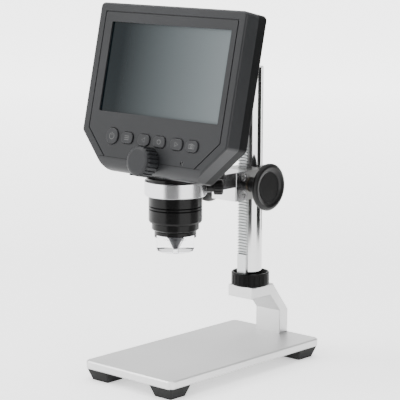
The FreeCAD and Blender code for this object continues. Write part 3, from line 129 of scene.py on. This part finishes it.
# Surface grains: noise scale, and bump depth in metres
SPARK_GRAIN, SPARK_DEPTH = 2600.0, 0.00004
SMOOTH_GRAIN, SMOOTH_DEPTH = 900.0, 0.00001
BARREL_GRAIN, BARREL_DEPTH = 1200.0, 0.000008
RUBBER_GRAIN, RUBBER_DEPTH = 1500.0, 0.00006
BLASTED_GRAIN, BLASTED_DEPTH = 3200.0, 0.00003
SATIN_GRAIN, SATIN_DEPTH = 2400.0, 0.00002
DRAWN_GRAIN, DRAWN_DEPTH = 500.0, 0.000002
CUT_GRAIN, SCREW_GRAIN = 1600.0, 1500.0
FOIL_GRAIN, FOIL_DEPTH = 180.0, 0.0002
EVEN = (1.0, 1.0, 1.0)
BRUSHED = (0.15, 0.15, 6.0)
TURNED = (1.0, 1.0, 6.0)
DRAWN = (1.0, 1.0, 0.1)

# What the materials share: noise scales, spreads of roughness and bump strengths
TONE_SCALE = 22.0
METAL_TONE_SCALE = 14.0
RIPPLE_SCALE = 400.0
SMEAR_SCALE = 60.0
ROUGH_LESS = 0.06
ROUGH_MORE = 0.06
METAL_ROUGH_LESS = 0.05
RIPPLE_SPREAD = 0.03
PLASTIC_BUMP = 0.35
METAL_BUMP = 0.3
CHROME_BUMP = 0.1
PLASTIC_GLOSS = 0.35
SMEAR_ROUGH = (0.10, 0.16)


# Node helpers


def new_material(name):
    """A material with an empty tree but for its surface shader and output."""
    material = bpy.data.materials.new(name)
    material.use_nodes = True
    tree = material.node_tree
    tree.nodes.clear()
    output = tree.nodes.new("ShaderNodeOutputMaterial")
    surface = tree.nodes.new("ShaderNodeBsdfPrincipled")
    tree.links.new(surface.outputs["BSDF"], output.inputs["Surface"])
    return material, tree, surface


def noise(tree, scale, detail=3.0, stretch=EVEN):
    """Object-space noise; stretch above 1 packs it tighter along that axis."""
    place = tree.nodes.new("ShaderNodeTexCoord")
    mapping = tree.nodes.new("ShaderNodeMapping")
    mapping.inputs["Scale"].default_value = stretch
    texture = tree.nodes.new("ShaderNodeTexNoise")
    texture.inputs["Scale"].default_value = scale
    texture.inputs["Detail"].default_value = detail
    tree.links.new(place.outputs["Object"], mapping.inputs["Vector"])
    tree.links.new(mapping.outputs["Vector"], texture.inputs["Vector"])
    return texture.outputs["Fac"]


def ramp(tree, factor, low, high, start=0.3, end=0.7):
    """A colour ramp from low to high over part of the factor's range."""
    node = tree.nodes.new("ShaderNodeValToRGB")
    node.color_ramp.elements[0].position = start
    node.color_ramp.elements[0].color = low
    node.color_ramp.elements[1].position = end
    node.color_ramp.elements[1].color = high
    tree.links.new(factor, node.inputs["Fac"])
    return node.outputs["Color"]


def spread(tree, factor, low, high, start=0.0, end=1.0):
    """The factor mapped from start..end onto low..high."""
    node = tree.nodes.new("ShaderNodeMapRange")
    node.inputs["From Min"].default_value = start
    node.inputs["From Max"].default_value = end
    node.inputs["To Min"].default_value = low
    node.inputs["To Max"].default_value = high
    tree.links.new(factor, node.inputs["Value"])
    return node.outputs["Result"]


def bump(tree, surface, height, strength, distance):
    """Roughen the surface's normal by the height."""
    node = tree.nodes.new("ShaderNodeBump")
    node.inputs["Strength"].default_value = strength
    node.inputs["Distance"].default_value = distance
    tree.links.new(height, node.inputs["Height"])
    tree.links.new(node.outputs["Normal"], surface.inputs["Normal"])


def grey(value):
    return (value, value, value, 1.0)


def moulded(name, dark, light, rough, grain=SPARK_GRAIN, depth=SPARK_DEPTH, gloss=PLASTIC_GLOSS):
    """Moulded plastic: an even tone with a fine spark-eroded grain."""
    material, tree, surface = new_material(name)
    tone = noise(tree, TONE_SCALE)
    tree.links.new(ramp(tree, tone, dark, light), surface.inputs["Base Color"])
    fine = noise(tree, grain, 2.0)
    roughness = spread(tree, fine, rough - ROUGH_LESS, rough + ROUGH_MORE)
    tree.links.new(roughness, surface.inputs["Roughness"])
    bump(tree, surface, fine, PLASTIC_BUMP, depth)
    surface.inputs["Specular IOR Level"].default_value = gloss
    return material


def metal(name, dark, light, rough, grain, depth, stretch=EVEN, strength=METAL_BUMP):
    """A metal finish: blasted where the noise is even, brushed where it is stretched."""
    material, tree, surface = new_material(name)
    surface.inputs["Metallic"].default_value = 1.0
    fine = noise(tree, grain, 3.0, stretch)
    broad = noise(tree, METAL_TONE_SCALE, 2.0)
    tree.links.new(ramp(tree, broad, dark, light), surface.inputs["Base Color"])
    roughness = spread(tree, fine, rough - METAL_ROUGH_LESS, rough + ROUGH_MORE)
    tree.links.new(roughness, surface.inputs["Roughness"])
    bump(tree, surface, fine, strength, depth)
    return material


def clear(name, colour, rough, ior):
    """Clear moulded plastic or glass with a faint surface ripple."""
    material, tree, surface = new_material(name)
    surface.inputs["Base Color"].default_value = colour
    surface.inputs["Transmission Weight"].default_value = 1.0
    surface.inputs["IOR"].default_value = ior
    ripple = noise(tree, RIPPLE_SCALE, 1.0)
    tree.links.new(spread(tree, ripple, rough, rough + RIPPLE_SPREAD), surface.inputs["Roughness"])
    return material


def screen_material():
    """Dark display under glass: a painted soft sheen from near black at the left to slate at the right."""
    material, tree, surface = new_material("display glass")
    place = tree.nodes.new("ShaderNodeTexCoord")
    split = tree.nodes.new("ShaderNodeSeparateXYZ")
    tree.links.new(place.outputs["Object"], split.inputs["Vector"])
    across = spread(tree, split.outputs["X"], 0.0, 1.0, SCREEN_LEFT, SCREEN_RIGHT)
    # Painted sheen: the base colour lightens across the glass
    painted_sheen = ramp(tree, across, SCREEN_DARK, SCREEN_PAINTED_SHEEN, SHEEN_START, 1.0)
    tree.links.new(painted_sheen, surface.inputs["Base Color"])
    smear = noise(tree, SMEAR_SCALE)
    tree.links.new(spread(tree, smear, *SMEAR_ROUGH), surface.inputs["Roughness"])
    surface.inputs["Specular IOR Level"].default_value = SCREEN_GLOSS
    return material


# Plastics, rubber and boards

PLASTIC = moulded("housing plastic", (0.009, 0.0095, 0.0103, 1), (0.013, 0.0135, 0.0147, 1), 0.40,
                  gloss=0.22)
# The rear housing: the housing plastic made darker and less glossy, as painted shade
REAR_SHADED_PLASTIC = moulded("rear housing shaded plastic", (0.003, 0.0031, 0.0033, 1), (0.005, 0.0052, 0.0055, 1), 0.40,
                       gloss=0.08)
BUTTON_PLASTIC = moulded("button plastic", (0.010, 0.0105, 0.0115, 1), (0.014, 0.0145, 0.0157, 1), 0.38,
                         gloss=0.24)
KNOB_PLASTIC = moulded("focus knob plastic", (0.008, 0.0085, 0.0095, 1), (0.012, 0.0125, 0.0137, 1), 0.43,
                       gloss=0.22)
GLOSS_BLACK = moulded("hand wheel plastic", grey(0.003), grey(0.005), 0.30, SMOOTH_GRAIN, SMOOTH_DEPTH, 0.22)
RING_BLACK = moulded("lock ring plastic", grey(0.0015), grey(0.003), 0.35, SMOOTH_GRAIN, SMOOTH_DEPTH, 0.08)
BARREL_BLACK = moulded("barrel black", grey(0.002), grey(0.004), 0.24, BARREL_GRAIN, BARREL_DEPTH, 0.14)
MATT_BLACK = moulded("matt black", (0.02, 0.02, 0.021, 1), (0.03, 0.03, 0.032, 1), 0.6)
NATURAL = moulded("acetal", (0.72, 0.71, 0.68, 1), (0.8, 0.79, 0.76, 1), 0.45)
RUBBER = moulded("foot rubber", grey(0.008), grey(0.014), 0.72, RUBBER_GRAIN, RUBBER_DEPTH, 0.2)
WHITE_BOARD = moulded("white board", (0.75, 0.75, 0.72, 1), (0.85, 0.85, 0.83, 1), 0.35)
GREEN_BOARD = moulded("green board", (0.01, 0.07, 0.03, 1), (0.015, 0.10, 0.045, 1), 0.35)
SWITCH_BLACK = moulded("switch black", grey(0.02), grey(0.03), 0.4)
LAMP = moulded("lamp lens", (0.80, 0.78, 0.60, 1), (0.88, 0.86, 0.70, 1), 0.2)
PANEL = moulded("panel", (0.02, 0.022, 0.024, 1), (0.03, 0.032, 0.034, 1), 0.25)

# Metals

PLATE_METAL = metal("blasted plate", grey(0.60), grey(0.66), 0.42, BLASTED_GRAIN, BLASTED_DEPTH)
RING_METAL = metal("brushed ring", (0.56, 0.56, 0.57, 1), (0.64, 0.64, 0.65, 1), 0.24,
                   SMOOTH_GRAIN, SMOOTH_DEPTH, BRUSHED)
CARRIAGE_METAL = metal("satin carriage", (0.34, 0.34, 0.335, 1), (0.40, 0.40, 0.395, 1), 0.34,
                       SATIN_GRAIN, SATIN_DEPTH)
CHROME = metal("column chrome", grey(0.58), grey(0.64), 0.09, DRAWN_GRAIN, DRAWN_DEPTH, DRAWN, CHROME_BUMP)
NICKEL = metal("rack nickel", (0.45, 0.46, 0.46, 1), (0.52, 0.53, 0.53, 1), 0.32, CUT_GRAIN, SMOOTH_DEPTH)
STEEL = metal("screw steel", grey(0.50), grey(0.60), 0.30, SCREW_GRAIN, SMOOTH_DEPTH)
BLACK_STEEL = metal("black screw steel", grey(0.05), grey(0.08), 0.35, SCREW_GRAIN, SMOOTH_DEPTH)
BRONZE = metal("dark bronze", (0.06, 0.05, 0.04, 1), (0.09, 0.075, 0.06, 1), 0.30,
               SMOOTH_GRAIN, SMOOTH_DEPTH, TURNED)
FOIL = metal("battery foil", grey(0.55), grey(0.68), 0.38, FOIL_GRAIN, FOIL_DEPTH)

# Clear parts and the display

ACRYLIC = clear("clear acrylic", (0.97, 0.97, 0.99, 1), 0.0, 1.16)
LENS_GLASS = clear("lens glass", (0.93, 0.96, 1.0, 1), 0.0, 1.52)
LIGHT_PIPE = clear("light pipe", (0.35, 0.36, 0.38, 1), 0.05, 1.49)
SCREEN = screen_material()

# Printed lines, and the painted dark reflection along the chin

# Black for the painted dark reflection along the chin, where the front turns under
CHIN_REFLECTION_BLACK = moulded("chin painted reflection black", grey(0.002), grey(0.004), 0.6, gloss=0.1)
ICON_PAINT = moulded("icon paint", grey(0.08), grey(0.11), 0.5, gloss=0.2)

SLOT_LOOKS = {
    "anodised_aluminium": PLATE_METAL, "brushed_aluminium": RING_METAL, "foot_rubber": RUBBER,
    "screw_steel": STEEL, "black_screw": BLACK_STEEL, "pad_plastic": NATURAL, "column_chrome": CHROME,
    "rack_steel": NICKEL, "black_ring": RING_BLACK, "bush_brass": BRONZE, "black_knob": GLOSS_BLACK,
    "barrel_black": BARREL_BLACK, "clear_acrylic": ACRYLIC, "cone_black": MATT_BLACK,
    "board_white": WHITE_BOARD, "lamp_lens": LAMP, "housing_black": PLASTIC, "screen_glass": SCREEN,
    "panel_dark": PANEL, "board_green": GREEN_BOARD, "battery_foil": FOIL, "switch_black": SWITCH_BLACK,
    "light_pipe": LIGHT_PIPE, "socket_steel": STEEL, "lens_glass": LENS_GLASS,
    "knob_black": KNOB_PLASTIC, "button_black": BUTTON_PLASTIC,
}

# Nodes that look different from the rest of their slot. The rear housing's copy of the housing plastic is
# darker and less glossy: painted shade.
NODE_LOOKS = {"carriage_block": CARRIAGE_METAL, "rear_housing": REAR_SHADED_PLASTIC}


def dress_nodes():
    """Give each CAD node its material and smooth shading."""
    slot_of_node = {part["node"]: part["material_slot"] for part in frame["record"]["subparts"]}
    for node_name, node in NODES.items():
        look = SLOT_LOOKS[slot_of_node[node_name]]
        for material_slot in node.material_slots:
            material_slot.material = look
        if node.type == "MESH":
            for polygon in node.data.polygons:
                polygon.use_smooth = True
    for node_name, look in NODE_LOOKS.items():
        NODES[node_name].material_slots[0].material = look


# Pieces on the tilted face


def face_point(u, v, lift):
    """A point in metres, lifted in front of the face."""
    return (FACE_ORIGIN + Vector((u, 0, 0)) + FACE_V * v - FACE_BACK * lift) * MM


def mesh_piece(name, verts, faces, material, body):
    """A new piece of the model that moves with a body."""
    mesh = bpy.data.meshes.new(name)
    mesh.from_pydata([tuple(vert) for vert in verts], [], faces)
    mesh.validate()
    mesh.materials.append(material)
    piece = bpy.data.objects.new(name, mesh)
    bpy.context.collection.objects.link(piece)
    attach(piece, body)


def ribbon(points, width, closed):
    """Left and right edge points of a flat line drawn on the face."""
    count = len(points)
    sides = []
    for i in range(count):
        before = points[(i - 1) % count] if closed or i > 0 else points[i]
        after = points[(i + 1) % count] if closed or i < count - 1 else points[i]
        along = Vector((after[0] - before[0], after[1] - before[1])).normalized()
        across = Vector((-along.y, along.x)) * (width / 2)
        here = Vector(points[i])
        sides.append((here + across, here - across))
    return sides


def strokes_piece(name, strokes, lift, material, body):
    """Raised thin lines on the face, as one closed mesh: print, and the chin's painted dark reflection. A
    stroke is (points, closed).
    """
    verts, faces = [], []
    top = lift + PRINT_AND_REFLECTION_THICKNESS
    for points, closed in strokes:
        first = len(verts)
        sides = ribbon(points, PRINT_AND_REFLECTION_WIDTH, closed)
        for left, right in sides:
            for point, height in ((left, top), (right, top), (right, lift), (left, lift)):
                verts.append(face_point(point.x, point.y, height))
        count = len(sides)
        spans = count if closed else count - 1
        for i in range(spans):
            a = first + 4 * i
            b = first + 4 * ((i + 1) % count)
            for k in range(4):
                faces.append((a + k, a + (k + 1) % 4, b + (k + 1) % 4, b + k))
        if not closed:
            last = first + 4 * (count - 1)
            faces.append((first + 3, first + 2, first + 1, first))
            faces.append((last, last + 1, last + 2, last + 3))
    mesh_piece(name, verts, faces, material, body)


def circle(u, v, radius, start=0.0, end=360.0, steps=20):
    """Points round a circle or an arc, in degrees from the top."""
    angles = [math.radians(start + (end - start) * i / steps) for i in range(steps + 1)]
    points = [(u + radius * math.sin(a), v + radius * math.cos(a)) for a in angles]
    return points[:-1] if end - start >= 360.0 else points


def power_icon(u, v):
    arc = circle(u, v, POWER_RADIUS, POWER_OPEN_FROM, POWER_OPEN_TO)
    bar = [(u, v + POWER_BAR_TOP), (u, v + POWER_BAR_FOOT)]
    return [(arc, False), (bar, False)]


def menu_icon(u, v):
    return [([(u - MENU_HALF, v + rise), (u + MENU_HALF, v + rise)], False) for rise in MENU_RISES]


def arrow_icon(u, v, side):
    """A triangle that points left for side -1 and right for side 1."""
    back = u - side * ARROW_BACK
    return [([(back, v + ARROW_HALF), (u + side * ARROW_TIP, v), (back, v - ARROW_HALF)], True)]


def snapshot_icon(u, v):
    outline = [(u + du, v + dv) for du, dv in SNAPSHOT_OUTLINE]
    lens = circle(u, v - SNAPSHOT_LENS_DROP, SNAPSHOT_LENS_RADIUS, steps=SNAPSHOT_LENS_STEPS)
    return [(outline, True), (lens, True)]


def button_icons():
    """Generic pictograms for each button, as (points, closed) strokes."""
    return {
        "power_button": power_icon(BUTTON_U["power_button"], BUTTON_V),
        "menu_button": menu_icon(BUTTON_U["menu_button"], BUTTON_V),
        "left_button": arrow_icon(BUTTON_U["left_button"], BUTTON_V, -1),
        "ok_button": [(circle(BUTTON_U["ok_button"], BUTTON_V, OK_RADIUS), True)],
        "right_button": arrow_icon(BUTTON_U["right_button"], BUTTON_V, 1),
        "mode_button": snapshot_icon(BUTTON_U["mode_button"], BUTTON_V),
    }


def print_face():
    """The pictograms, which ride on their buttons, and the painted dark reflection along the chin."""
    icon_lift = BUTTON_PROUD - PRINT_AND_REFLECTION_SUNK
    for button, strokes in button_icons().items():
        strokes_piece(button + "_icon", strokes, icon_lift, ICON_PAINT, button + "_body")
    # The chin's dark line is a painted reflection where the front turns under
    chin_reflection = [([(side * CHIN_FROM, CHIN_V), (side * CHIN_TO, CHIN_V)], False) for side in (-1, 1)]
    strokes_piece("chin_painted_reflection", chin_reflection, -PRINT_AND_REFLECTION_SUNK, CHIN_REFLECTION_BLACK, "head")


# Stage


def stage_floor():
    """A pale plain floor."""
    bpy.ops.mesh.primitive_plane_add(size=FLOOR_SIZE, location=(0, 0, 0))
    floor = bpy.context.object
    floor.name = "floor"
    material, tree, surface = new_material("floor")
    surface.inputs["Base Color"].default_value = FLOOR_COLOUR
    surface.inputs["Roughness"].default_value = FLOOR_ROUGHNESS
    surface.inputs["Specular IOR Level"].default_value = FLOOR_GLOSS
    surface.inputs["Emission Color"].default_value = FLOOR_COLOUR
    place = tree.nodes.new("ShaderNodeTexCoord")
    reach = tree.nodes.new("ShaderNodeVectorMath")
    reach.operation = "LENGTH"
    tree.links.new(place.outputs["Object"], reach.inputs[0])
    glow = spread(tree, reach.outputs["Value"], FLOOR_GLOW_NEAR, FLOOR_GLOW_FAR, GLOW_FROM, GLOW_TO)
    tree.links.new(glow, surface.inputs["Emission Strength"])
    floor.data.materials.append(material)


def stage_card(index, low, high, brightness):
    """One upright dark card beside the object, seen only in reflections."""
    verts = []
    for azimuth in (low, high):
        angle = math.radians(azimuth)
        x = COLUMN_PLACE[0] + CARD_DISTANCE * math.sin(angle)
        y = COLUMN_PLACE[1] - CARD_DISTANCE * math.cos(angle)
        verts += [(x, y, 0.0), (x, y, CARD_HEIGHT)]
    mesh = bpy.data.meshes.new("card_" + str(index))
    mesh.from_pydata(verts, [], [(0, 1, 3, 2)])
    card = bpy.data.objects.new("card_" + str(index), mesh)
    material, _, surface = new_material("card " + str(index))
    surface.inputs["Base Color"].default_value = grey(brightness)
    surface.inputs["Roughness"].default_value = 1.0
    surface.inputs["Specular IOR Level"].default_value = 0.0
    mesh.materials.append(material)
    bpy.context.collection.objects.link(card)
    card.visible_camera = False
    card.visible_diffuse = False
    card.visible_shadow = False


def area_light(name, place, target, size, power):
    """A rectangular lamp aimed at the target."""
    light = bpy.data.lights.new(name, "AREA")
    light.shape = "RECTANGLE"
    light.size, light.size_y = size
    light.energy = power
    lamp = bpy.data.objects.new(name, light)
    lamp.location = place
    lamp.rotation_euler = (Vector(target) - Vector(place)).to_track_quat("-Z", "Y").to_euler()
    bpy.context.collection.objects.link(lamp)


def stage_world():
    """A white world that fades from the horizon upwards."""
    world = bpy.data.worlds.new("studio")
    world.use_nodes = True
    tree = world.node_tree
    background = tree.nodes["Background"]
    background.inputs["Color"].default_value = WORLD_COLOUR
    place = tree.nodes.new("ShaderNodeTexCoord")
    split = tree.nodes.new("ShaderNodeSeparateXYZ")
    tree.links.new(place.outputs["Generated"], split.inputs["Vector"])
    fade = spread(tree, split.outputs["Z"], HORIZON_STRENGTH, WORLD_STRENGTH, 0.0, SKY_FADE)
    tree.links.new(fade, background.inputs["Strength"])
    bpy.context.scene.world = world


def stage_camera():
    """The photograph's camera."""
    camera = bpy.data.cameras.new("camera")
    camera.lens = LENS_MM
    camera.sensor_width = SENSOR_MM
    camera.clip_start = CLIP_NEAR
    camera.clip_end = CLIP_FAR
    level = math.cos(ELEVATION)
    back = Vector((math.sin(AZIMUTH) * level, -math.cos(AZIMUTH) * level, math.sin(ELEVATION)))
    right = Vector((math.cos(AZIMUTH), math.sin(AZIMUTH), 0.0))
    up = back.cross(right)
    rolled_right = right * math.cos(ROLL) + up * math.sin(ROLL)
    rolled_up = up * math.cos(ROLL) - right * math.sin(ROLL)
    turn = Matrix((rolled_right, rolled_up, back)).transposed()
    holder = bpy.data.objects.new("camera", camera)
    holder.matrix_world = Matrix.Translation(CAMERA_PLACE) @ turn.to_4x4()
    bpy.context.collection.objects.link(holder)
    bpy.context.scene.camera = holder


dress_nodes()
print_face()
stage_floor()
for card_index, card_facts in enumerate(CARDS):
    stage_card(card_index, *card_facts)
stage_world()
stage_camera()
for lamp_facts in LAMPS:
    area_light(*lamp_facts)
